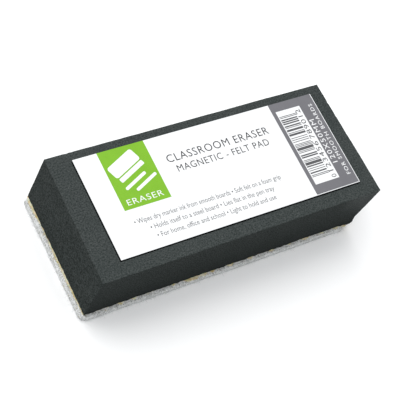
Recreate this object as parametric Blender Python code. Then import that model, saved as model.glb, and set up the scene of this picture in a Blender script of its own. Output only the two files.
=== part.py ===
"""Magnetic dry-wipe board eraser: a foam block on a felt pad, with two magnets inside.

Metres, +Z up. The origin is the middle of the eraser's footprint, on the felt's
underside, which is the face that wipes the board. +X runs along the block and +Y
across it. Neighbouring pieces are glued to each other on the real object; here they
stand GAP apart, so each stays a closed solid of its own.
"""

import math

import bmesh
import bpy

# Driving dimensions.
GAP = 0.0003

FOAM_LENGTH = 0.1197
FOAM_WIDTH = 0.0496
FOAM_HEIGHT = 0.0266
FOAM_EDGE = 0.0004
LEFT_SKEW = 0.00014       # the left end is cut this far out of square at each corner
RIGHT_SKEW = 0.0006       # the same for the right end
END_HOLLOW = 0.0006       # how deep the saw cut dips in at the right end
END_HOLLOW_HEIGHT = 0.2 * FOAM_HEIGHT

FELT_THICKNESS = 0.0028
FELT_CORNER = 0.003
FELT_EDGE = 0.0003
FELT_OVER_LEFT = 0.00095  # the pad stands out past the foam at the left and the front
FELT_OVER_FRONT = 0.0012
FELT_SHORT_RIGHT = 0.0034  # and stops short of it at the right and the back
FELT_SHORT_BACK = 0.0005

GLUE_THICKNESS = 0.0002
GLUE_INSET = 0.0005
GLUE_CORNER = 0.0015

MAGNET_RADIUS = 0.010
MAGNET_THICKNESS = 0.005
MAGNET_SPACING = 0.060
MAGNET_EDGE = 0.0003

DAB_RADIUS = 0.0072
DAB_THICKNESS = 0.0004
DAB_EDGE = 0.00012

LABEL_LENGTH = 0.1039
LABEL_WIDTH = 0.0404
LABEL_THICKNESS = 0.0002
LABEL_CORNER = 0.0004
LABEL_FROM_LEFT = 0.0095   # margin from the foam's left end to the label
LABEL_FROM_FRONT = 0.0059  # margin from the foam's front face to the label

ROUND_SEGMENTS = 64
CORNER_STEPS = 8
CUT_OVERRUN = 0.001        # how far a cutter runs past the face that it opens

# Where the pieces lie.
FOAM_X = (FELT_OVER_LEFT + LEFT_SKEW - RIGHT_SKEW) / 2
FOAM_Y = FELT_OVER_FRONT / 2
GLUE_BOTTOM = FELT_THICKNESS + GAP
FOAM_BOTTOM = GLUE_BOTTOM + GLUE_THICKNESS + GAP
FOAM_TOP = FOAM_BOTTOM + FOAM_HEIGHT
MAGNET_BOTTOM = FOAM_BOTTOM
DAB_BOTTOM = MAGNET_BOTTOM + MAGNET_THICKNESS + GAP
POCKET_TOP = DAB_BOTTOM + DAB_THICKNESS + GAP
POCKET_RADIUS = MAGNET_RADIUS + GAP
LABEL_BOTTOM = FOAM_TOP + GAP


def clear_scene():
    for obj in list(bpy.data.objects):
        bpy.data.objects.remove(obj)


def make_material(name, colour, roughness, metallic=0.0):
    material = bpy.data.materials.new(name)
    material.use_nodes = True
    shader = material.node_tree.nodes["Principled BSDF"]
    shader.inputs["Base Color"].default_value = (*colour, 1.0)
    shader.inputs["Roughness"].default_value = roughness
    shader.inputs["Metallic"].default_value = metallic
    return material


def make_object(name, bm, material, parent, location):
    """Turn a bmesh into a named object under the parent empty."""
    bmesh.ops.recalc_face_normals(bm, faces=bm.faces)
    mesh = bpy.data.meshes.new(name)
    bm.to_mesh(mesh)
    bm.free()
    mesh.materials.append(material)
    obj = bpy.data.objects.new(name, mesh)
    bpy.context.collection.objects.link(obj)
    obj.parent = parent
    obj.location = location
    return obj


def add_bevel(obj, width, segments=2):
    """Soften every edge that turns by more than 30 degrees."""
    bevel = obj.modifiers.new("soft_edges", "BEVEL")
    bevel.width = width
    bevel.segments = segments
    bevel.limit_method = "ANGLE"
    bevel.angle_limit = math.radians(30)


def rounded_outline(length, width, radius):
    """Points of a rounded rectangle about the origin, anticlockwise."""
    points = []
    for quarter, (side_x, side_y) in enumerate(((1, 1), (-1, 1), (-1, -1), (1, -1))):
        centre_x = side_x * (length / 2 - radius)
        centre_y = side_y * (width / 2 - radius)
        for step in range(CORNER_STEPS + 1):
            angle = math.radians(90) * (quarter + step / CORNER_STEPS)
            x = centre_x + radius * math.cos(angle)
            y = centre_y + radius * math.sin(angle)
            points.append((x, y))
    return points


def plate(outline, thickness):
    """A flat plate of the given outline, standing on its own z = 0."""
    bm = bmesh.new()
    bottom = bm.faces.new([bm.verts.new((x, y, 0)) for x, y in outline])
    lifted = bmesh.ops.extrude_face_region(bm, geom=[bottom])["geom"]
    top_verts = [item for item in lifted if isinstance(item, bmesh.types.BMVert)]
    bmesh.ops.translate(bm, verts=top_verts, vec=(0, 0, thickness))
    return bm


def disc(radius, thickness):
    """An upright disc standing on its own z = 0."""
    bm = bmesh.new()
    bmesh.ops.create_cone(
        bm, cap_ends=True, segments=ROUND_SEGMENTS, radius1=radius, radius2=radius, depth=thickness
    )
    bmesh.ops.translate(bm, verts=bm.verts, vec=(0, 0, thickness / 2))
    return bm


def foam_ring(bm, height, hollow):
    """The block's four corners at one height, anticlockwise from the front left."""
    left = -FOAM_LENGTH / 2
    right = FOAM_LENGTH / 2 - hollow
    half_width = FOAM_WIDTH / 2
    corners = (
        (left - LEFT_SKEW, -half_width),
        (right + RIGHT_SKEW, -half_width),
        (right - RIGHT_SKEW, half_width),
        (left + LEFT_SKEW, half_width),
    )
    return [bm.verts.new((x, y, height)) for x, y in corners]


def foam_block():
    """The saw-cut block: three rings of corners, the middle one dipping in at the right end."""
    bm = bmesh.new()
    rings = [
        foam_ring(bm, 0.0, 0.0),
        foam_ring(bm, END_HOLLOW_HEIGHT, END_HOLLOW),
        foam_ring(bm, FOAM_HEIGHT, 0.0),
    ]
    for lower, upper in zip(rings, rings[1:]):
        for i in range(4):
            j = (i + 1) % 4
            bm.faces.new((lower[i], lower[j], upper[j], upper[i]))
    bm.faces.new(rings[0])
    bm.faces.new(rings[-1])
    return bm


def cut_pocket(foam, name, parent, x):
    """Sink a blind round pocket for one magnet into the foam's underside."""
    depth = POCKET_TOP - FOAM_BOTTOM + CUT_OVERRUN
    material = foam.data.materials[0]
    place = (x, 0.0, FOAM_BOTTOM - CUT_OVERRUN)
    cutter = make_object(name, disc(POCKET_RADIUS, depth), material, parent, place)
    cutter.hide_render = True
    cutter.display_type = "WIRE"
    cut = foam.modifiers.new(name, "BOOLEAN")
    cut.operation = "DIFFERENCE"
    cut.solver = "EXACT"
    cut.object = cutter


def build_foam_body(parent):
    material = make_material("foam", (0.072, 0.080, 0.078), 0.92)
    place = (FOAM_X, FOAM_Y, FOAM_BOTTOM)
    foam = make_object("foam_body", foam_block(), material, parent, place)
    add_bevel(foam, FOAM_EDGE)
    return foam


def build_felt_pad(parent):
    material = make_material("felt", (0.46, 0.47, 0.46), 0.97)
    length = FOAM_LENGTH + LEFT_SKEW + FELT_OVER_LEFT - FELT_SHORT_RIGHT
    width = FOAM_WIDTH + FELT_OVER_FRONT - FELT_SHORT_BACK
    x = FOAM_X - (LEFT_SKEW + FELT_OVER_LEFT + FELT_SHORT_RIGHT) / 2
    y = FOAM_Y - (FELT_OVER_FRONT + FELT_SHORT_BACK) / 2
    outline = rounded_outline(length, width, FELT_CORNER)
    felt = make_object("felt_pad", plate(outline, FELT_THICKNESS), material, parent, (x, y, 0.0))
    add_bevel(felt, FELT_EDGE)


def build_glue_layer(parent):
    """The bonding coat over the foam's whole underside, under the magnets too."""
    material = make_material("hot_melt", (0.52, 0.42, 0.18), 0.35)
    length = FOAM_LENGTH - 2 * (RIGHT_SKEW + GLUE_INSET)
    width = FOAM_WIDTH - 2 * GLUE_INSET
    outline = rounded_outline(length, width, GLUE_CORNER)
    place = (FOAM_X, FOAM_Y, GLUE_BOTTOM)
    make_object("glue_layer", plate(outline, GLUE_THICKNESS), material, parent, place)


def build_magnet(side, x, parent, materials):
    """One ferrite disc, with the dab of glue that holds it to its pocket's roof."""
    ferrite, glue = materials
    body = disc(MAGNET_RADIUS, MAGNET_THICKNESS)
    magnet = make_object(f"magnet_{side}", body, ferrite, parent, (x, 0.0, MAGNET_BOTTOM))
    add_bevel(magnet, MAGNET_EDGE, segments=1)
    dab = disc(DAB_RADIUS, DAB_THICKNESS)
    glue_dab = make_object(f"magnet_glue_{side}", dab, glue, parent, (x, 0.0, DAB_BOTTOM))
    add_bevel(glue_dab, DAB_EDGE, segments=1)


def build_label(parent):
    material = make_material("label_film", (0.86, 0.87, 0.87), 0.45)
    x = FOAM_X - FOAM_LENGTH / 2 + LABEL_FROM_LEFT + LABEL_LENGTH / 2
    y = FOAM_Y - FOAM_WIDTH / 2 + LABEL_FROM_FRONT + LABEL_WIDTH / 2
    outline = rounded_outline(LABEL_LENGTH, LABEL_WIDTH, LABEL_CORNER)
    place = (x, y, LABEL_BOTTOM)
    make_object("label", plate(outline, LABEL_THICKNESS), material, parent, place)


def main():
    clear_scene()
    eraser = bpy.data.objects.new("eraser", None)
    bpy.context.collection.objects.link(eraser)
    foam = build_foam_body(eraser)
    build_felt_pad(eraser)
    build_glue_layer(eraser)
    build_label(eraser)
    ferrite = make_material("ferrite", (0.045, 0.045, 0.05), 0.6)
    magnet_glue = make_material("magnet_glue", (0.55, 0.46, 0.22), 0.35)
    for side, x in (("left", -MAGNET_SPACING / 2), ("right", MAGNET_SPACING / 2)):
        cut_pocket(foam, f"pocket_{side}", eraser, x)
        build_magnet(side, x, eraser, (ferrite, magnet_glue))


main()
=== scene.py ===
"""The looks of the magnetic board eraser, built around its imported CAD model.

Everything is in metres in the row frame: +X along the block, +Y across it, +Z up.
"""

import math

import bmesh
import bpy
import numpy as np
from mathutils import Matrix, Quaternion, Vector, noise


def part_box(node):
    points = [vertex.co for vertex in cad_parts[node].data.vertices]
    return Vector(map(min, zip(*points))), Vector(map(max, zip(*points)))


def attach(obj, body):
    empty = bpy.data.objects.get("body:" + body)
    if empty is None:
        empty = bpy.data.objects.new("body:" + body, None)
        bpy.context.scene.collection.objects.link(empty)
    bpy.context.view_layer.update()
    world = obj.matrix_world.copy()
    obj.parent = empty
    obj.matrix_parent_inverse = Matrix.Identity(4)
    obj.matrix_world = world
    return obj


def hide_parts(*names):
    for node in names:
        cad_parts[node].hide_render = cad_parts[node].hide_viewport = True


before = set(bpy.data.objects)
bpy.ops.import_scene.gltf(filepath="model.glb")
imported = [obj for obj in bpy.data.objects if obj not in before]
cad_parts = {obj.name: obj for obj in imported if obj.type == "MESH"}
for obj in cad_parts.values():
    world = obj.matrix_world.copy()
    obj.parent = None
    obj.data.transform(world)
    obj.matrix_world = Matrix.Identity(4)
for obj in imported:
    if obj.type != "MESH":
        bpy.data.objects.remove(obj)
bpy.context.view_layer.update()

MM = 0.001
GAP = 0.3 * MM              # the clearance between neighbouring CAD pieces

# ---------------------------------------------------------------- where the CAD pieces are

FOAM_LOW, FOAM_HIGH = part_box("foam_body")
FELT_LOW, FELT_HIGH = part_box("felt_pad")
LABEL_LOW, LABEL_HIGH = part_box("label")
FOAM_MIDDLE = (FOAM_LOW + FOAM_HIGH) / 2

# ---------------------------------------------------------------- camera and light

CAMERA_AIM = FOAM_MIDDLE + Vector((-2.14, -3.23, -2.44)) * MM
CAMERA_AZIMUTH = -58.30
CAMERA_ELEVATION = 55.24
CAMERA_ROLL = 35.42
CAMERA_DISTANCE = 0.4560
CAMERA_LENS = 108.2

AMBIENT_COLOUR = (0.95, 0.97, 1.0)
AMBIENT_STRENGTH = 0.60
# Name, place as azimuth and elevation seen from the eraser, distance, size, watts.
SOFT_BOXES = (
    ("key_box", 208.0, 65.0, 1.3, 1.8, 25.0),
)
FLOOR_SIZE = 8.0
FLOOR_COLOUR = (0.92, 0.92, 0.915)

# ---------------------------------------------------------------- foam block

FOAM_PITCH = 0.5 * MM
FOAM_EDGE = 0.25 * MM
LEFT_SKEW = 0.14 * MM
RIGHT_SKEW = 0.6 * MM
END_HOLLOW = 1.0 * MM
END_HOLLOW_SHARE = 0.2     # height of the hollow's deepest line, as a share of the block's
END_HOLLOW_REACH = 0.1     # how far in from the end the hollow is felt, as a share of the length
FLARE = 0.5 * MM           # how far the right end's lower front corner is splayed out
FLARE_LENGTH = 8.0 * MM
HEM_DROP = 0.34 * MM       # how far shreds of the sawn lower edge hang down
HEM_WIDTH = 0.9 * MM       # how far in from the edge the shreds begin, and how far up the side
HEM_HEIGHT = 0.8 * MM
RAGGED_HEIGHT = 1.2 * MM   # how far up the sides the rough lower edge goes
CORNER_LIGHT_REACH = 20.0 * MM     # the front face is painted lighter within this of its upper right corner, a painted pool of light
CORNER_LIGHT_CORE = 6.0 * MM
# A faint crease in the top: mm in from the right end where it ends, from the front face, depth.
CREASE_ENDS = (1.5, 7.0)
CREASE_FRONT = 10.3
CREASE_DEPTH = 0.16 * MM
CREASE_WIDTH = 0.55 * MM
FOAM_SEED = 11
POCKET_OVERRUN = 1.0 * MM   # how far a pocket's cutter runs past the foam's underside
POCKET_SIDES = 96
FOAM_PITS = 260
FOAM_NICKS = 16

# ---------------------------------------------------------------- felt, fibres and glue

FELT_PITCH = 0.5 * MM
FELT_RADII = np.array([0.9, 0.6, 3.0, 0.6]) * MM  # back right, back left, front left, front right
FELT_EDGE = 0.5 * MM
FELT_RISE = 0.42 * MM      # how far the real felt's top stands above the CAD plate's
FIBRES = 2600
FIBRE_SEED = 5
# How far the glue stands out past the foam on each side, in mm: left, front, right, back.
GLUE_OUT = (0.10, -0.26, 0.22, 0.10)
# Thick spots on its rim: mm from the foam's left end and from its front, radius and height in mm.
GLUE_BLOBS = (
    (0.0, 45.0, 9.0, 0.75), (0.0, 24.0, 8.0, 0.35), (0.0, 14.0, 8.0, 0.30),
    (15.0, 0.0, 1.8, 1.0), (20.5, 0.0, 1.6, 0.9), (37.0, 0.0, 1.4, 0.8), (45.0, 0.0, 4.6, 2.0),
    (50.0, 0.0, 2.4, 1.2), (54.0, 0.0, 1.7, 0.9), (62.0, 0.0, 2.2, 0.9), (71.0, 0.0, 1.8, 0.8),
    (81.0, 0.0, 2.0, 0.8), (89.0, 0.0, 1.6, 0.7), (97.0, 0.0, 2.6, 0.9), (105.0, 0.0, 1.6, 0.8),
    (112.0, 0.0, 1.8, 0.8), (116.0, 0.0, 3.0, 1.1),
)
GLUE_FILLET = 1.0 * MM     # corner radius of the glue's rim in plan
GLUE_CLING = 0.30 * MM     # how far it climbs the foam and sinks into the felt
# The rim's profile: how far out, as a share of the glue's reach, and how far up.
GLUE_PROFILE = (
    (-2.0, 0.0), (-0.15, 0.02), (0.7, 0.12), (1.0, 0.40), (0.8, 0.75), (-0.1, 0.98), (-2.0, 1.0)
)

# ---------------------------------------------------------------- label, from its own back left corner

LABEL_THICKNESS = 0.16 * MM
SHADOW_SHEET_THICKNESS = 0.14 * MM
SHADOW_SHEET_SHIFT = 0.48 * MM   # how far the near-black sheet, the label's painted shadow, stands out at the left and the front
INK = 0.012 * MM            # thickness of one coat of ink
SINK = 0.05 * MM            # how far the painted-shadow sheet is pressed into the foam
LABEL_PITCH = 1.0 * MM
TEXT_DEPTH = 0.1            # half the depth of the letters before they are fitted, per unit of size
TEXT_WELD = 1e-4            # points of a letter closer together than this are one


def smoothstep(t):
    t = np.clip(t, 0.0, 1.0)
    return t * t * (3 - 2 * t)


# ================================================================ meshes


def mesh_piece(name, points, faces, material, smooth=True):
    """A new object from arrays of points and faces, riding on the one body."""
    mesh = bpy.data.meshes.new(name)
    mesh.from_pydata([tuple(p) for p in points], [], [list(f) for f in faces])
    mesh.validate()
    mesh.materials.append(material)
    if smooth:
        mesh.shade_smooth()
    piece = bpy.data.objects.new(name, mesh)
    bpy.context.scene.collection.objects.link(piece)
    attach(piece, "root")
    return piece


def add_shade(piece, name, values):
    """Give each point of a piece a number that its material reads."""
    layer = piece.data.attributes.new(name, "FLOAT", "POINT")
    layer.data.foreach_set("value", values.astype(np.float32))


def side_stations(length, radius, pitch):
    """Places along one side of a block, closer together where its edges are rounded."""
    inner = length / 2 - radius
    middle = np.linspace(-inner, inner, max(2, round(2 * inner / pitch) + 1))
    rim = inner + radius * np.array([0.3, 0.6, 1.0])
    return np.concatenate([-rim[::-1], middle, rim])


def block_surface(stations):
    """Points and outward quads over the closed surface of a block, from stations along X, Y and Z."""
    last = [len(s) - 1 for s in stations]
    index = {}
    points = []
    quads = []

    def vertex(place):
        if place not in index:
            index[place] = len(points)
            points.append([stations[axis][place[axis]] for axis in range(3)])
        return index[place]

    for axis in range(3):
        across = (axis + 1) % 3
        along = (axis + 2) % 3
        for end in (0, last[axis]):
            for i in range(last[across]):
                for j in range(last[along]):
                    quad = []
                    for di, dj in ((0, 0), (1, 0), (1, 1), (0, 1)):
                        place = [end, end, end]
                        place[across] = i + di
                        place[along] = j + dj
                        quad.append(vertex(tuple(place)))
                    quads.append(quad if end else quad[::-1])
    return np.array(points), quads


def round_edges(points, half, radius):
    """Round a block's edges and corners, and give each point's outward normal."""
    core = np.clip(points, radius - half, half - radius)
    out = points - core
    normals = out / np.linalg.norm(out, axis=1, keepdims=True)
    return core + radius * normals, normals


def rough(points, size, seed, octaves=2):
    """Smooth noise from about -1 to 1, with features of the given size in metres."""
    shift = Vector((seed * 7.31, seed * 3.17, seed * 1.73))
    return np.array([noise.fractal(Vector(p) / size + shift, 1.0, 2.0, octaves) for p in points])


def dimples(points, centres, radii, depths):
    """How far each point sinks into round dimples."""
    sink = np.zeros(len(points))
    for centre, radius, depth in zip(centres, radii, depths):
        near = np.all(np.abs(points - centre) < radius, axis=1)
        away = np.linalg.norm(points[near] - centre, axis=1) / radius
        sink[near] = np.maximum(sink[near], depth * smoothstep(1 - away))
    return sink


def scattered(points, candidates, rng, count, radii, depths):
    """Dimples about some of the candidate points, with radii and depths in ranges in mm."""
    spots = points[rng.choice(candidates, count, replace=False)]
    return dimples(points, spots, rng.uniform(*radii, count) * MM, rng.uniform(*depths, count) * MM)


# ================================================================ materials


class Shader:
    """A material's node tree, with short ways to add and join nodes."""

    def __init__(self, name):
        self.material = bpy.data.materials.new(name)
        self.material.use_nodes = True
        self.nodes = self.material.node_tree.nodes
        self.links = self.material.node_tree.links
        self.surface = self.nodes["Principled BSDF"]
        self.place = self.nodes.new("ShaderNodeTexCoord").outputs["Object"]

    def set(self, **values):
        """Set the Principled shader's own sockets: set(Sheen_Weight=0.3)."""
        for key, value in values.items():
            self.surface.inputs[key.replace("_", " ")].default_value = value

    def stretched(self, scale, turn=(0.0, 0.0, 0.0)):
        """The place, scaled and turned."""
        node = self.nodes.new("ShaderNodeMapping")
        node.inputs["Scale"].default_value = scale
        node.inputs["Rotation"].default_value = [math.radians(a) for a in turn]
        self.links.new(self.place, node.inputs["Vector"])
        return node.outputs["Vector"]

    def noise(self, size, detail=2.0, roughness=0.5, vector=None):
        """Noise with features of the given size in metres."""
        node = self.nodes.new("ShaderNodeTexNoise")
        node.inputs["Scale"].default_value = 1 / size
        node.inputs["Detail"].default_value = detail
        node.inputs["Roughness"].default_value = roughness
        self.links.new(vector or self.place, node.inputs["Vector"])
        return node.outputs["Fac"]

    def cells(self, size, randomness=1.0):
        """Distance to the nearest of a scatter of points that far apart."""
        node = self.nodes.new("ShaderNodeTexVoronoi")
        node.inputs["Scale"].default_value = 1 / size
        node.inputs["Randomness"].default_value = randomness
        self.links.new(self.place, node.inputs["Vector"])
        return node.outputs["Distance"]

    def attribute(self, name):
        node = self.nodes.new("ShaderNodeAttribute")
        node.attribute_name = name
        return node.outputs["Fac"]

    def math(self, operation, a, b):
        node = self.nodes.new("ShaderNodeMath")
        node.operation = operation
        for socket, value in zip(node.inputs, (a, b)):
            if isinstance(value, (int, float)):
                socket.default_value = value
            else:
                self.links.new(value, socket)
        return node.outputs[0]

    def ramp(self, factor, *stops):
        """Colours along a factor: stops are (position, colour)."""
        node = self.nodes.new("ShaderNodeValToRGB")
        elements = node.color_ramp.elements
        while len(elements) < len(stops):
            elements.new(0.5)
        for element, (position, colour) in zip(elements, stops):
            element.position = position
            element.color = (*colour, 1.0)
        self.links.new(factor, node.inputs["Fac"])
        return node.outputs["Color"]

    def spread(self, factor, low, high, to_low, to_high):
        """A number that goes from to_low to to_high as the factor goes from low to high."""
        node = self.nodes.new("ShaderNodeMapRange")
        keys = ("From Min", "From Max", "To Min", "To Max")
        for key, value in zip(keys, (low, high, to_low, to_high)):
            node.inputs[key].default_value = value
        self.links.new(factor, node.inputs["Value"])
        return node.outputs["Result"]

    def mix(self, factor, a, b, blend="MIX"):
        node = self.nodes.new("ShaderNodeMix")
        node.data_type = "RGBA"
        node.blend_type = blend
        for key, value in (("Factor", factor), ("A", a), ("B", b)):
            socket = next(s for s in node.inputs if s.name == key and s.enabled)
            if isinstance(value, tuple):
                socket.default_value = (*value, 1.0)
            elif isinstance(value, (int, float)):
                socket.default_value = value
            else:
                self.links.new(value, socket)
        return next(s for s in node.outputs if s.enabled)

    def bump(self, height, distance, strength=1.0, under=None):
        node = self.nodes.new("ShaderNodeBump")
        node.inputs["Distance"].default_value = distance
        node.inputs["Strength"].default_value = strength
        self.links.new(height, node.inputs["Height"])
        if under is not None:
            self.links.new(under, node.inputs["Normal"])
        return node.outputs["Normal"]

    def join(self, colour=None, roughness=None, normal=None):
        for key, output in (("Base Color", colour), ("Roughness", roughness), ("Normal", normal)):
            if output is not None:
                self.links.new(output, self.surface.inputs[key])
        return self.material


def foam_material():
    """Dull charcoal foam: a fine speckle of cut cells, darker on the sawn sides than on the top, partly
    as painted shade.

    It reads the shades that foam_shades gives each point.
    """
    s = Shader("foam")
    s.set(Specular_IOR_Level=0.08)
    skin = s.attribute("skin")
    patches = s.noise(9 * MM, detail=3.0)
    grain = s.noise(0.55 * MM, detail=3.0, roughness=0.6)
    cells = s.cells(0.36 * MM)
    # the top's colour is lighter and the sides' darker: partly the real skin and sawn cut, partly
    # painted light and shade
    smooth = s.ramp(grain, (0.34, (0.021, 0.026, 0.025)), (0.66, (0.062, 0.070, 0.068)))
    sawn = s.ramp(grain, (0.38, (0.009, 0.012, 0.011)), (0.62, (0.041, 0.048, 0.046)))
    base = s.mix(skin, sawn, smooth)
    clouds = s.ramp(patches, (0.3, (0.44, 0.45, 0.45)), (0.7, (0.56, 0.55, 0.55)))
    base = s.mix(0.6, base, clouds, "OVERLAY")
    pores = s.spread(cells, 0.05, 0.30, 0.55, 0.0)
    base = s.mix(pores, base, (0.010, 0.013, 0.012))
    rubbed = s.math("MULTIPLY", s.attribute("wear"), s.spread(s.noise(1.3 * MM), 0.40, 0.65, 0.0, 0.45))
    base = s.mix(rubbed, base, (0.052, 0.058, 0.056))
    # painted shade: the front face is darkened towards the bottom, where less light reaches it
    base = s.mix(s.math("MULTIPLY", s.attribute("painted_shade_low"), 0.62), base, (0.008, 0.011, 0.010))
    # painted light: the front face's upper right corner is painted lighter, as if lit from the right
    painted_corner_light = s.ramp(grain, (0.34, (0.034, 0.039, 0.038)), (0.66, (0.084, 0.092, 0.090)))
    pale = s.math("MULTIPLY", s.attribute("pale"), s.spread(patches, 0.35, 0.65, 0.6, 1.0))
    base = s.mix(pale, base, painted_corner_light)
    relief = s.bump(grain, 0.10 * MM)
    relief = s.bump(cells, 0.07 * MM, 0.8, under=relief)
    return s.join(base, s.spread(grain, 0.3, 0.7, 0.97, 0.86), relief)


def felt_material():
    """Pale grey needle felt: short fibres that lie every way, with a few darker and warmer ones."""
    s = Shader("felt")
    s.set(Sheen_Weight=0.25, Sheen_Roughness=0.5, Specular_IOR_Level=0.15)
    lying = s.noise(1.0, detail=2.0, vector=s.stretched((420, 2600, 2600), (12, 20, 34)))
    leaning = s.noise(1.0, detail=2.0, vector=s.stretched((2400, 520, 2400), (30, -16, -22)))
    standing = s.noise(1.0, detail=2.0, vector=s.stretched((2500, 2500, 600), (-25, 28, 10)))
    tangle = s.math("MAXIMUM", s.math("MAXIMUM", lying, leaning), standing)
    greys = ((0.46, (0.28, 0.28, 0.27)), (0.57, (0.60, 0.61, 0.60)), (0.70, (0.80, 0.81, 0.81)))
    base = s.ramp(tangle, *greys)
    patches = s.noise(1.5 * MM, detail=3.0)
    mottle = s.ramp(patches, (0.35, (0.44, 0.44, 0.43)), (0.65, (0.58, 0.58, 0.58)))
    base = s.mix(0.5, base, mottle, "OVERLAY")
    odd = s.spread(s.noise(1.4 * MM, detail=1.0), 0.66, 0.72, 0.0, 0.5)
    base = s.mix(odd, base, (0.42, 0.36, 0.20))
    relief = s.bump(tangle, 0.22 * MM)
    relief = s.bump(s.noise(1.6 * MM, detail=3.0), 0.25 * MM, 0.7, under=relief)
    return s.join(base, s.spread(tangle, 0.4, 0.7, 1.0, 0.9), relief)


def fibre_material():
    """Loose felt fibres, each with its own grey."""
    s = Shader("felt_fibre")
    s.set(Sheen_Weight=0.2, Specular_IOR_Level=0.3)
    greys = ((0.0, (0.22, 0.22, 0.21)), (0.3, (0.60, 0.61, 0.60)), (1.0, (0.80, 0.81, 0.81)))
    tint = s.ramp(s.attribute("tint"), *greys)
    along = s.spread(s.noise(0.8 * MM), 0.3, 0.7, 0.75, 0.55)
    return s.join(tint, along)


def glue_material(name="glue"):
    """Yellowed glue: honey where it is thick, paler and dustier where fibres have stuck to it."""
    s = Shader(name)
    s.set(Subsurface_Weight=0.25, Subsurface_Scale=0.6 * MM, Specular_IOR_Level=0.4)
    depth = s.noise(1.8 * MM, detail=3.0)
    honey = ((0.32, (0.38, 0.28, 0.11)), (0.5, (0.53, 0.46, 0.24)), (0.68, (0.64, 0.61, 0.44)))
    base = s.ramp(depth, *honey)
    lint = s.spread(s.noise(0.5 * MM, detail=2.0), 0.50, 0.62, 0.0, 0.65)
    base = s.mix(lint, base, (0.60, 0.59, 0.52))
    return s.join(base, s.spread(depth, 0.3, 0.7, 0.55, 0.30), s.bump(depth, 0.15 * MM))


def ferrite_material():
    """Ground ferrite: near black, with fine grinding lines and pale chips."""
    s = Shader("ferrite")
    lines = s.noise(1.0, detail=2.0, vector=s.stretched((300, 9000, 300), (0, 0, 25)))
    base = s.ramp(lines, (0.35, (0.030, 0.030, 0.033)), (0.65, (0.062, 0.062, 0.066)))
    chips = s.spread(s.noise(0.7 * MM, detail=3.0), 0.62, 0.70, 0.0, 0.6)
    base = s.mix(chips, base, (0.13, 0.13, 0.135))
    return s.join(base, s.spread(lines, 0.3, 0.7, 0.42, 0.62), s.bump(lines, 0.02 * MM))


def print_material(name, colour, roughness=0.42, gloss=0.2):
    """One ink, or the bare film: a satin coat with a faint orange peel and a trace of mottle."""
    s = Shader(name)
    s.set(Specular_IOR_Level=gloss)
    mottle = s.noise(3.5 * MM, detail=3.0)
    darker = tuple(0.955 * c for c in colour)
    base = s.ramp(mottle, (0.35, darker), (0.65, colour))
    peel = s.noise(0.9 * MM, detail=2.0)
    grain = s.noise(0.22 * MM, detail=1.0)
    relief = s.bump(peel, 0.012 * MM, 0.6)
    relief = s.bump(grain, 0.005 * MM, 0.5, under=relief)
    return s.join(base, s.spread(peel, 0.3, 0.7, roughness - 0.05, roughness + 0.06), relief)


# ================================================================ foam


def out_of_square(points, half):
    """Points of the block with both ends sawn out of square, as the CAD block's are."""
    share = np.clip((points + half) / (2 * half), 0, 1)
    to_front = 1 - 2 * share[:, 1]
    moved = points.copy()
    moved[:, 0] += to_front * (RIGHT_SKEW * share[:, 0] - LEFT_SKEW * (1 - share[:, 0]))
    return moved


def shape_foam(points, half):
    """The block's saw cuts: both ends out of square, and the right one dipping in low down."""
    share = (points + half) / (2 * half)
    below = np.clip(share[:, 2] / END_HOLLOW_SHARE, 0, 1)
    above = np.clip((1 - share[:, 2]) / (1 - END_HOLLOW_SHARE), 0, 1)
    cut = out_of_square(points, half)
    near_end = smoothstep((share[:, 0] - 1 + END_HOLLOW_REACH) / END_HOLLOW_REACH)
    cut[:, 0] -= END_HOLLOW * np.minimum(below, above) * near_end
    to_end = half[0] - points[:, 0]
    cut[:, 1] -= FLARE * (1 - below) * (1 - share[:, 1]) * smoothstep(1 - to_end / FLARE_LENGTH)
    return cut


def hem(points, half):
    """How far the sawn lower edge's shreds hang down: nothing away from that edge."""
    to_side = (half - np.abs(points))[:, :2].min(axis=1)
    to_bottom = points[:, 2] + half[2]
    rim = smoothstep(1 - to_side / HEM_WIDTH) * smoothstep(1 - to_bottom / HEM_HEIGHT)
    return HEM_DROP * rim * np.clip(0.35 + 1.3 * rough(points, 1.5 * MM, 12), 0, 1)


def crease(points, half):
    """How deep the faint crease in the top is at each point."""
    near, far = (half[0] - end * MM for end in CREASE_ENDS)
    along = smoothstep((points[:, 0] - far) / (2 * MM)) * smoothstep((near - points[:, 0]) / MM)
    across = (points[:, 1] + half[1] - CREASE_FRONT * MM) / CREASE_WIDTH
    return CREASE_DEPTH * along * np.exp(-across * across) * (points[:, 2] > 0)


def foam_relief(points, normals, half):
    """Outward movement of each point: slow saw waves, a grain, scattered pits and nicked edges."""
    rng = np.random.default_rng(FOAM_SEED)
    everywhere = np.arange(len(points))
    on_edge = np.flatnonzero(np.abs(normals).max(axis=1) < 0.85)
    pits = scattered(points, everywhere, rng, FOAM_PITS, (0.5, 1.1), (0.04, 0.11))
    nicks = scattered(points, on_edge, rng, FOAM_NICKS, (0.7, 1.6), (0.10, 0.25))
    waves = 0.09 * MM * rough(points, 22 * MM, 1)
    waves += 0.035 * MM * rough(points, 5 * MM, 2)
    grain = 0.022 * MM * rough(points, 1.1 * MM, 3)
    low = smoothstep((-points[:, 2] - half[2] + RAGGED_HEIGHT) / RAGGED_HEIGHT)
    ragged = 0.20 * MM * rough(points, 1.6 * MM, 4) * low
    return waves + grain + ragged - pits - nicks - crease(points, half)


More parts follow.
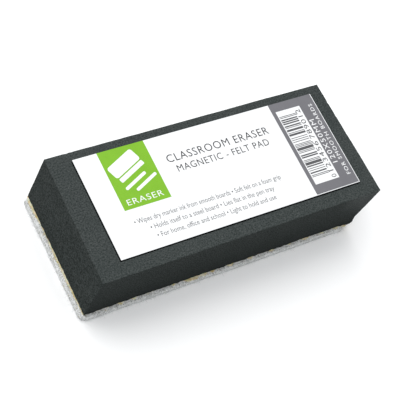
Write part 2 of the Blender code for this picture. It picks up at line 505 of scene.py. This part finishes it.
def foam_shades(points, normals, half):
    """The foam material's inputs at each point, from none to full."""
    flat = np.abs(normals).max(axis=1)
    front = normals[:, 1] < -0.5
    corner = np.array([half[0], -half[1], half[2]])
    away = np.linalg.norm(points - corner, axis=1)
    return {
        "wear": smoothstep((0.98 - flat) / 0.2),
        # the top is the foam's skin, and is also painted lighter than the sides as painted light
        "skin": smoothstep((normals[:, 2] - 0.2) / 0.6),
        # pale: painted light near the front face's upper right corner
        "pale": smoothstep((CORNER_LIGHT_REACH - away) / (CORNER_LIGHT_REACH - CORNER_LIGHT_CORE)) * front,
        # painted shade: darker towards the bottom of the front face
        "painted_shade_low": (0.5 - points[:, 2] / (2 * half[2])) * front,
    }


def cut_pockets(foam):
    """Open the magnets' pockets in the foam's underside, as the CAD block has them."""
    for side in ("left", "right"):
        low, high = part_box(f"magnet_{side}")
        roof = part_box(f"magnet_glue_{side}")[1].z + GAP
        radius = (high.x - low.x) / 2 + GAP
        floor = FOAM_LOW.z - POCKET_OVERRUN
        middle = (low + high) / 2
        place = (middle.x, middle.y, (roof + floor) / 2)
        bpy.ops.mesh.primitive_cylinder_add(
            vertices=POCKET_SIDES, radius=radius, depth=roof - floor, location=place
        )
        cutter = bpy.context.object
        cut = foam.modifiers.new(f"pocket_{side}", "BOOLEAN")
        cut.operation = "DIFFERENCE"
        cut.solver = "EXACT"
        cut.object = cutter
        bpy.context.view_layer.objects.active = foam
        bpy.ops.object.modifier_apply(modifier=cut.name)
        bpy.data.objects.remove(cutter)


def add_foam():
    size = FOAM_HIGH - FOAM_LOW
    length = size.x - LEFT_SKEW - RIGHT_SKEW
    middle = FOAM_MIDDLE + Vector(((LEFT_SKEW - RIGHT_SKEW) / 2, 0, 0))
    half = np.array([length, size.y, size.z]) / 2
    stations = [side_stations(2 * h, FOAM_EDGE, FOAM_PITCH) for h in half]
    points, quads = block_surface(stations)
    points, normals = round_edges(points, half, FOAM_EDGE)
    moved = shape_foam(points, half) + normals * foam_relief(points, normals, half)[:, None]
    moved[:, 2] -= hem(points, half)
    foam = mesh_piece("foam_block", moved + np.array(middle), quads, foam_material())
    for shade, values in foam_shades(points, normals, half).items():
        add_shade(foam, shade, values)
    cut_pockets(foam)
    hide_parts("foam_body")
    return foam


# ================================================================ felt


def round_plan(points, half, radii):
    """Round a plate's corners in plan: each square corner is mapped onto a quarter disc."""
    plan = points[:, :2]
    front = plan[:, 1] <= 0
    left = plan[:, 0] <= 0
    quarter = np.where(front, 3 - left, left)
    radius = radii[quarter][:, None]
    core = np.clip(plan, radius - half[:2], half[:2] - radius)
    out = plan - core
    reach = np.abs(out).max(axis=1, keepdims=True)
    length = np.linalg.norm(out, axis=1, keepdims=True)
    turned = np.where(length > 0, out * reach / np.maximum(length, 1e-12), 0.0)
    return np.column_stack([core + turned, points[:, 2]])


def add_felt():
    """The pad: a cut plate of felt with an uneven, soft edge and a slightly lumpy face."""
    low = FELT_LOW
    high = FELT_HIGH + Vector((0, 0, FELT_RISE))
    middle = np.array((low + high) / 2)
    half = np.array(high - low) / 2
    stations = [side_stations(2 * h, FELT_EDGE, FELT_PITCH) for h in half]
    points, quads = block_surface(stations)
    points, normals = round_edges(points, half, FELT_EDGE)
    points = round_plan(points, half, FELT_RADII)
    sideways = np.hypot(normals[:, 0], normals[:, 1])
    edge = (0.07 * rough(points, 4.5 * MM, 5) + 0.07 * rough(points, 1.1 * MM, 6)) * MM * sideways
    face = 0.05 * MM * rough(points, 1.6 * MM, 7) * (1 - sideways)
    moved = points + normals * (edge + face)[:, None] + middle
    moved[:, 2] = np.maximum(moved[:, 2], low.z)
    felt = mesh_piece("felt_sheet", moved, quads, felt_material())
    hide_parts("felt_pad")
    return felt


def arc(centre, radius, quarter, steps):
    """Points and outward normals round one quarter of a circle."""
    angles = math.radians(90) * (quarter + np.linspace(0, 1, steps + 1))
    normals = np.column_stack([np.cos(angles), np.sin(angles)])
    return centre + radius * normals, normals


def outline(length, width, radii, pitch):
    """Points and outward normals round a rectangle with rounded corners, anticlockwise."""
    arcs = []
    corners = ((1, 1), (-1, 1), (-1, -1), (1, -1))
    for quarter, (corner, radius) in enumerate(zip(corners, radii)):
        centre = np.array(corner) * (length / 2 - radius, width / 2 - radius)
        arcs.append(arc(centre, radius, quarter, max(2, round(math.radians(90) * radius / pitch))))
    points = []
    normals = []
    for i, (places, outward) in enumerate(arcs):
        gap = arcs[(i + 1) % 4][0][0] - places[-1]
        count = max(2, round(np.linalg.norm(gap) / pitch))
        share = np.linspace(0, 1, count + 1)[1:-1, None]
        points += [places, places[-1] + gap * share]
        normals += [outward, np.repeat(outward[-1:], count - 1, axis=0)]
    return np.concatenate(points), np.concatenate(normals)


def fibre_line(rng, root, normal, low, high):
    """A short curling line that leaves the felt's edge and lies along it."""
    tangent = np.array([-normal[1], normal[0], 0.0])
    out = np.array([normal[0], normal[1], 0.0])
    up = np.array([0.0, 0.0, 1.0])
    heading = tangent * rng.choice((-1, 1)) * rng.uniform(0.5, 1.0)
    heading = heading + out * rng.uniform(-0.05, 0.32) + up * rng.normal(0.0, 0.35)
    heading /= np.linalg.norm(heading)
    curl = rng.normal(0.0, 0.28, 3)
    step = rng.uniform(0.18, 0.5) * MM
    line = [root]
    for _ in range(5):
        heading = heading + curl + rng.normal(0.0, 0.12, 3)
        heading /= np.linalg.norm(heading)
        point = line[-1] + heading * step
        point[2] = np.clip(point[2], low, high)
        line.append(point)
    return np.array(line)


def tube(line, radius):
    """A closed three-sided tube along a line, thinner at its ends."""
    heading = np.gradient(line, axis=0)
    heading /= np.maximum(np.linalg.norm(heading, axis=1, keepdims=True), 1e-12)
    side = np.cross(heading, (0.31, 0.17, 0.94))
    side /= np.maximum(np.linalg.norm(side, axis=1, keepdims=True), 1e-12)
    other = np.cross(heading, side)
    thick = radius * np.interp(np.linspace(0, 1, len(line)), (0, 0.2, 0.8, 1), (0.6, 1, 1, 0.3))
    points = []
    for turn in range(3):
        angle = math.tau * turn / 3
        points.append(line + thick[:, None] * (math.cos(angle) * side + math.sin(angle) * other))
    points = np.stack(points, axis=1).reshape(-1, 3)
    faces = [(2, 1, 0)]
    for ring in range(len(line) - 1):
        for turn in range(3):
            a = 3 * ring + turn
            b = 3 * ring + (turn + 1) % 3
            faces.append((a, b, b + 3, a + 3))
    end = 3 * (len(line) - 1)
    faces.append((end, end + 1, end + 2))
    return points, faces


def add_fibres():
    """Loose fibres standing off the felt's cut edge."""
    rng = np.random.default_rng(FIBRE_SEED)
    size = FELT_HIGH - FELT_LOW
    middle = (FELT_LOW + FELT_HIGH) / 2
    rim, normals = outline(size.x, size.y, FELT_RADII, 0.25 * MM)
    top = FELT_HIGH.z + FELT_RISE
    points = []
    faces = []
    tints = []
    for _ in range(FIBRES):
        pick = rng.integers(len(rim))
        root_z = rng.uniform(0.15 * MM, top)
        inset = rng.uniform(0.0, 0.25) * MM
        plan = rim[pick] - normals[pick] * inset
        root = np.array([middle.x + plan[0], middle.y + plan[1], root_z])
        line = fibre_line(rng, root, normals[pick], 0.04 * MM, top + 0.25 * MM)
        ring_points, ring_faces = tube(line, rng.uniform(0.014, 0.026) * MM)
        faces += [[i + len(tints) for i in face] for face in ring_faces]
        points.append(ring_points)
        tints += [rng.uniform()] * len(ring_points)
    fibres = mesh_piece("felt_fibres", np.concatenate(points), faces, fibre_material())
    add_shade(fibres, "tint", np.array(tints))
    return fibres


# ================================================================ glue


def glue_reach(rim, normals, half):
    """How far the glue stands out past the foam at each point of its rim."""
    sides = np.column_stack([-normals, normals])
    base = np.clip(sides, 0, None) ** 2 @ np.array(GLUE_OUT) * MM
    here = np.column_stack([rim, np.zeros(len(rim))])
    reach = base + 0.16 * MM * rough(here, 3.2 * MM, 8) + 0.13 * MM * rough(here, 0.9 * MM, 9)
    for along, across, radius, height in GLUE_BLOBS:
        spot = np.array([along, across]) * MM - half[:2]
        away = np.linalg.norm(rim - spot, axis=1) / (radius * MM)
        reach = reach + height * MM * smoothstep(1 - away)
    return np.clip(reach, -0.5 * MM, 1.0 * MM)


def stacked_rings(rings):
    """Points and faces of a closed form from rings of as many points each, lowest first."""
    count = len(rings[0])
    faces = [list(range(count))[::-1]]
    for ring in range(len(rings) - 1):
        for i in range(count):
            a = ring * count + i
            b = ring * count + (i + 1) % count
            faces.append([a, b, b + count, a + count])
    faces.append([(len(rings) - 1) * count + i for i in range(count)])
    return np.concatenate(rings), faces


def add_glue():
    """The glue between foam and felt: a film whose rim is squeezed out unevenly."""
    size = FOAM_HIGH - FOAM_LOW
    half = np.array((size.x - LEFT_SKEW - RIGHT_SKEW, size.y, size.z)) / 2
    rim, normals = outline(2 * half[0], 2 * half[1], np.full(4, GLUE_FILLET), 0.3 * MM)
    reach = glue_reach(rim, normals, half)
    low = FELT_HIGH.z + FELT_RISE - GLUE_CLING / 2
    high = FOAM_LOW.z + GLUE_CLING
    middle = np.array(FOAM_MIDDLE)[:2] + ((LEFT_SKEW - RIGHT_SKEW) / 2, 0)
    rim = out_of_square(np.column_stack([rim, np.full(len(rim), -half[2])]), half)[:, :2]
    rings = []
    for out, up in GLUE_PROFILE:
        if out > 0:
            bulge = np.where(reach > 0, out * reach, reach)
        else:
            bulge = np.minimum(reach, 0) + out * MM / 2
        plan = rim + normals * bulge[:, None] + middle
        rings.append(np.column_stack([plan, np.full(len(rim), low + (high - low) * up)]))
    points, faces = stacked_rings(rings)
    glue = mesh_piece("glue_line", points, faces, glue_material())
    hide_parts("glue_layer")
    return glue


# ================================================================ label

LABEL_LEFT = LABEL_LOW.x
LABEL_BACK = LABEL_HIGH.y
SHADOW_SHEET_TOP = FOAM_HIGH.z - SINK + SHADOW_SHEET_THICKNESS
FILM_TOP = SHADOW_SHEET_TOP + LABEL_THICKNESS

# Print colours, as the share of light each ink gives back.
WHITE = (0.76, 0.765, 0.765)
GREEN = (0.176, 0.402, 0.017)
PANEL_GREY = (0.147, 0.145, 0.156)
HEADING_GREY = (0.044, 0.044, 0.048)
FINE_GREY = (0.13, 0.13, 0.135)
BAR_GREY = (0.085, 0.085, 0.09)

# Boxes on the label, as left, right, back and front edges, in mm from its back left corner.
GREEN_BOX = (9.5, 28.5, -0.02, 23.8)
GREY_BOX = (83.7, 103.62, -0.02, 40.15)
CODE_BOX = (85.4, 96.6, 3.6, 36.2)
CODE_BARS = (85.75, 93.3, 6.0, 33.1)

# The emblem's patches: name, middle, length and width, corner radius, all in mm.
EMBLEM_SHAPES = (
    ("emblem_grip", (0.0, -3.6), (13.0, 5.2), 1.0),
    ("emblem_felt", (0.0, 0.4), (12.4, 1.8), 0.4),
    ("emblem_stroke_near", (-1.8, 3.8), (10.8, 1.2), 0.59),
    ("emblem_stroke_far", (1.0, 6.6), (10.8, 1.2), 0.59),
)
EMBLEM_MIDDLE = (18.8, 9.9)
EMBLEM_TURN = -24.0

CODE_DIGITS = "0123456789012"
# The public table of seven-module bar patterns for the digits 0 to 9.
DIGIT_BARS = "0001101 0011001 0010011 0111101 0100011 0110001 0101111 0111011 0110111 0001011".split()
GUARD_BARS = {"end": "101", "middle": "01010"}
GUARD_MODULES = (range(0, 3), range(45, 50), range(92, 95))
GUARD_REACH = 0.6           # how much longer the guards' bars are, in mm

# Words, size and place of each line, in mm: cap height, width, middle along and across the label.
EMBLEM_WORD = ("ERASER", 2.2, 14.6, 19.0, 21.2)
SIDE_SIZE = ("120X50MM", 2.15, 19.5, 98.4, 20.3)
SIDE_WORDS = ("FOR SMOOTH BOARDS", 1.65, 32.0, 101.3, 20.1)
HEADINGS = (
    ("CLASSROOM ERASER", 3.05, 44.6, 56.0, 9.6),
    ("MAGNETIC - FELT PAD", 2.65, 40.2, 56.0, 14.2),
)
FINE_LINES = (
    (
        "\u2022 Wipes dry marker ink from smooth boards \u2022 Soft felt on a foam grip",
        1.9, 62.3, 41.9, 28.8,
    ),
    ("\u2022 Holds itself to a steel board \u2022 Lies flat in the pen tray", 1.9, 52.6, 41.9, 32.3),
    ("\u2022 For home, office and school \u2022 Light to hold and use", 1.9, 50.6, 41.9, 35.8),
)
# The same for the barcode's first digit, its left six and its right six.
DIGIT_PLACES = ((2.1, 1.4, 94.75, 34.9), (2.1, 13.4, 94.75, 26.2), (2.1, 13.4, 94.75, 11.5))


def film_wave(points):
    """The film's slow unevenness over the foam."""
    return 0.035 * MM * rough(points, 24 * MM, 10) + 0.010 * MM * rough(points, 6 * MM, 11)


def label_place(along, across):
    """A point on the label, in mm from its back left corner, as X and Y in the row frame."""
    return LABEL_LEFT + along * MM, LABEL_BACK - across * MM


def lay_on_label(piece, base):
    """Lift a flat piece onto the label's uneven face: base is its height above the film."""
    mesh = piece.data
    points = np.array([v.co for v in mesh.vertices])
    points[:, 2] += FILM_TOP + base + film_wave(points * (1, 1, 0))
    mesh.vertices.foreach_set("co", points.astype(np.float32).ravel())
    mesh.update()


def slab(name, edges, low, high, material):
    """A thin closed sheet between left, right, back and front edges, finely divided so it can bend."""
    left, right, back, front = edges
    width = right - left
    depth = back - front
    stations = [
        np.linspace(left, right, max(2, round(width / LABEL_PITCH) + 1)),
        np.linspace(front, back, max(2, round(depth / LABEL_PITCH) + 1)),
        np.array([low, high]),
    ]
    points, quads = block_surface(stations)
    return mesh_piece(name, points, quads, material, smooth=False)


def printed_box(name, box, coat, material):
    """A block of ink: coat counts the layers of ink under it."""
    left, back = label_place(box[0], box[2])
    right, front = label_place(box[1], box[3])
    piece = slab(name, (left, right, back, front), -0.5 * INK, INK, material)
    lay_on_label(piece, coat * INK)
    return piece


def text_mesh(words, spacing, weight):
    """Flat closed letters for some words, as points and faces."""
    curve = bpy.data.curves.new("words", "FONT")
    curve.body = words
    curve.size = 1.0
    curve.space_character = spacing
    curve.offset = weight
    curve.extrude = TEXT_DEPTH
    curve.resolution_u = 3
    holder = bpy.data.objects.new("words", curve)
    bpy.context.scene.collection.objects.link(holder)
    bpy.context.view_layer.update()
    evaluated = holder.evaluated_get(bpy.context.evaluated_depsgraph_get())
    shape = bmesh.new()
    shape.from_mesh(evaluated.to_mesh())
    bmesh.ops.remove_doubles(shape, verts=shape.verts, dist=TEXT_WELD)
    shape.verts.index_update()
    points = np.array([v.co for v in shape.verts])
    faces = [[v.index for v in f.verts] for f in shape.faces]
    shape.free()
    evaluated.to_mesh_clear()
    bpy.data.objects.remove(holder)
    return points, faces


def printed_words(name, line, coat, material, turned=False, spacing=1.1, weight=0.0):
    """A line of printed words, fitted to its cap height and width, about its middle."""
    words, height, width, along, across = line
    points, faces = text_mesh(words, spacing, weight)
    caps, _ = text_mesh("H", spacing, weight)
    low, high = points.min(axis=0), points.max(axis=0)
    scale_x = width * MM / (high[0] - low[0])
    scale_y = height * MM / (caps[:, 1].max() - caps[:, 1].min())
    flat_x = (points[:, 0] - (low[0] + high[0]) / 2) * scale_x
    flat_y = (points[:, 1] - caps[:, 1].max() / 2) * scale_y
    thick = np.where(points[:, 2] > 0, INK, -0.5 * INK)
    if turned:
        flat_x, flat_y = -flat_y, flat_x
    x, y = label_place(along, across)
    points = np.column_stack([x + flat_x, y + flat_y, thick])
    piece = mesh_piece(name, points, faces, material, smooth=False)
    lay_on_label(piece, coat * INK)
    return piece


def code_pattern():
    """The bars of the digits, as 1 for a bar and 0 for a gap."""
    left = "".join(DIGIT_BARS[int(d)] for d in CODE_DIGITS[1:7])
    right = "".join(DIGIT_BARS[int(d)] for d in CODE_DIGITS[7:])
    opposite = right.translate(str.maketrans("01", "10"))
    return GUARD_BARS["end"] + left + GUARD_BARS["middle"] + opposite + GUARD_BARS["end"]


def code_runs(pattern):
    """Each bar's first module and width."""
    runs = []
    start = None
    for i, bit in enumerate(pattern + "0"):
        if bit == "1" and start is None:
            start = i
        if bit == "0" and start is not None:
            runs.append((start, i - start))
            start = None
    return runs


def join(name, pieces):
    """Make several pieces one."""
    bpy.ops.object.select_all(action="DESELECT")
    for piece in pieces:
        piece.select_set(True)
    bpy.context.view_layer.objects.active = pieces[0]
    bpy.ops.object.join()
    pieces[0].name = name
    return pieces[0]


def add_code(white, dark):
    """The barcode: its white box, the bars across it and its digits beside them."""
    printed_box("code_box", CODE_BOX, 1, white)
    left, right, back, front = CODE_BARS
    pattern = code_pattern()
    module = (front - back) / len(pattern)
    bars = []
    for start, width in code_runs(pattern):
        near = front - start * module
        guard = any(start in modules for modules in GUARD_MODULES)
        reach = right + (GUARD_REACH if guard else 0.0)
        bars.append(printed_box(f"bar_{start}", (left, reach, near - width * module, near), 2, dark))
    join("code_bars", bars)
    groups = (CODE_DIGITS[0], CODE_DIGITS[1:7], CODE_DIGITS[7:])
    digits = [
        printed_words(f"digits_{i}", (group, *place), 2, dark, turned=True)
        for i, (group, place) in enumerate(zip(groups, DIGIT_PLACES))
    ]
    join("code_digits", digits)


def spun(points, degrees):
    """Points turned about the origin, clockwise as the label reads."""
    a = math.radians(degrees)
    spin = np.array([[math.cos(a), math.sin(a)], [-math.sin(a), math.cos(a)]])
    return points @ spin


def printed_shape(name, ring, coat, material):
    """A closed patch of ink of any outline, given in mm from the label's back left corner."""
    flat = np.array([label_place(x, y) for x, y in ring])[::-1]
    count = len(flat)
    low = np.column_stack([flat, np.full(count, -0.5 * INK)])
    high = np.column_stack([flat, np.full(count, INK)])
    faces = [list(range(count))[::-1], [count + i for i in range(count)]]
    for i in range(count):
        j = (i + 1) % count
        faces.append([i, j, count + j, count + i])
    piece = mesh_piece(name, np.concatenate([low, high]), faces, material, smooth=False)
    lay_on_label(piece, coat * INK)
    return piece


def add_emblem(white):
    """A plain pictogram: a block eraser on its felt, and the strokes that it wipes."""
    patches = []
    for name, middle, size, radius in EMBLEM_SHAPES:
        ring, _ = outline(*size, (radius,) * 4, radius / 6)
        ring = spun(ring + middle, EMBLEM_TURN) + EMBLEM_MIDDLE
        patches.append(printed_shape(name, ring, 1, white))
    join("emblem", patches)


def add_sheets(shadow_sheet_ink, white):
    """The label's near-black sheet, its painted shadow at the left and front, and the white film on it.
    """
    left, right = LABEL_LOW.x, LABEL_HIGH.x
    back, front = LABEL_HIGH.y, LABEL_LOW.y
    # the near-black sheet stands out only at the left and the front, as the label's painted shadow
    edges = (left - SHADOW_SHEET_SHIFT, right, back - SHADOW_SHEET_SHIFT, front - SHADOW_SHEET_SHIFT)
    underside = -LABEL_THICKNESS - SHADOW_SHEET_THICKNESS
    shadow_sheet = slab("label_shadow_sheet", edges, underside, -LABEL_THICKNESS, shadow_sheet_ink)
    film = slab("label_film", (left, right, back, front), -LABEL_THICKNESS, 0.0, white)
    for piece in (shadow_sheet, film):
        lay_on_label(piece, 0.0)
        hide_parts("label")


def add_label():
    """The near-black painted-shadow sheet, the white film on it, and everything that is printed on the
    film.
    """
    # painted shadow: a near-black sheet under the film stands in for the label's shadow at its left and
    # front edges
    shadow_sheet_ink = print_material("label_shadow_sheet", (0.003, 0.004, 0.004), 0.8, gloss=0.03)
    white = print_material("label_white", WHITE)
    green = print_material("ink_green", GREEN)
    grey = print_material("ink_panel_grey", PANEL_GREY)
    heading = print_material("ink_heading", HEADING_GREY)
    fine = print_material("ink_fine", FINE_GREY)
    dark = print_material("ink_bars", BAR_GREY)

    add_sheets(shadow_sheet_ink, white)
    printed_box("green_patch", GREEN_BOX, 0, green)
    add_emblem(white)
    printed_words("emblem_word", EMBLEM_WORD, 1, white, weight=-0.004)
    printed_box("grey_panel", GREY_BOX, 0, grey)
    add_code(white, dark)
    side = {"turned": True, "spacing": 1.2}
    printed_words("side_size", SIDE_SIZE, 1, white, **side)
    printed_words("side_words", SIDE_WORDS, 1, white, **side)
    lines = [printed_words(f"heading_{i}", line, 0, heading) for i, line in enumerate(HEADINGS)]
    join("heading_words", lines)
    lines = [printed_words(f"fine_{i}", line, 0, fine, spacing=1.0) for i, line in enumerate(FINE_LINES)]
    join("fine_words", lines)


# ================================================================ hidden pieces


def finish_hidden_pieces():
    """The magnets and their glue keep their CAD shapes."""
    ferrite = ferrite_material()
    dab = glue_material("magnet_glue")
    for side in ("left", "right"):
        for node, material in ((f"magnet_{side}", ferrite), (f"magnet_glue_{side}", dab)):
            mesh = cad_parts[node].data
            mesh.materials.clear()
            mesh.materials.append(material)


# ================================================================ stage


def direction(azimuth, elevation):
    """The unit vector towards a place round the eraser. Azimuth 0 is in front of it."""
    a = math.radians(azimuth)
    e = math.radians(elevation)
    return Vector((math.sin(a) * math.cos(e), -math.cos(a) * math.cos(e), math.sin(e)))


def add_camera():
    data = bpy.data.cameras.new("camera")
    data.lens = CAMERA_LENS
    data.clip_start = 0.01
    camera = bpy.data.objects.new("camera", data)
    bpy.context.scene.collection.objects.link(camera)
    back = direction(CAMERA_AZIMUTH, CAMERA_ELEVATION)
    camera.location = CAMERA_AIM + back * CAMERA_DISTANCE
    camera.rotation_mode = "QUATERNION"
    roll = Quaternion((0, 0, 1), math.radians(CAMERA_ROLL))
    camera.rotation_quaternion = (-back).to_track_quat("-Z", "Y") @ roll
    bpy.context.scene.camera = camera


def add_soft_boxes():
    for name, azimuth, elevation, distance, size, watts in SOFT_BOXES:
        data = bpy.data.lights.new(name, "AREA")
        data.shape = "SQUARE"
        data.size = size
        data.energy = watts
        light = bpy.data.objects.new(name, data)
        bpy.context.scene.collection.objects.link(light)
        towards = direction(azimuth, elevation)
        light.location = FOAM_MIDDLE + towards * distance
        light.rotation_mode = "QUATERNION"
        light.rotation_quaternion = (-towards).to_track_quat("-Z", "Y")


def add_world():
    world = bpy.data.worlds.new("studio")
    world.use_nodes = True
    sky = world.node_tree.nodes["Background"]
    sky.inputs["Color"].default_value = (*AMBIENT_COLOUR, 1.0)
    sky.inputs["Strength"].default_value = AMBIENT_STRENGTH
    bpy.context.scene.world = world


def add_floor():
    s = Shader("floor")
    paper = s.noise(40 * MM, detail=3.0)
    darker = tuple(0.99 * c for c in FLOOR_COLOUR)
    s.join(s.ramp(paper, (0.3, darker), (0.7, FLOOR_COLOUR)), s.spread(paper, 0.3, 0.7, 0.85, 0.95))
    half = FLOOR_SIZE / 2
    mesh = bpy.data.meshes.new("floor")
    corners = [(-half, -half, 0), (half, -half, 0), (half, half, 0), (-half, half, 0)]
    mesh.from_pydata(corners, [], [(0, 1, 2, 3)])
    mesh.materials.append(s.material)
    floor = bpy.data.objects.new("floor", mesh)
    bpy.context.scene.collection.objects.link(floor)


# ================================================================ build

bpy.context.scene.view_settings.view_transform = "Standard"
add_camera()
add_foam()
add_felt()
add_fibres()
add_glue()
add_label()
finish_hidden_pieces()
add_world()
add_soft_boxes()
add_floor()
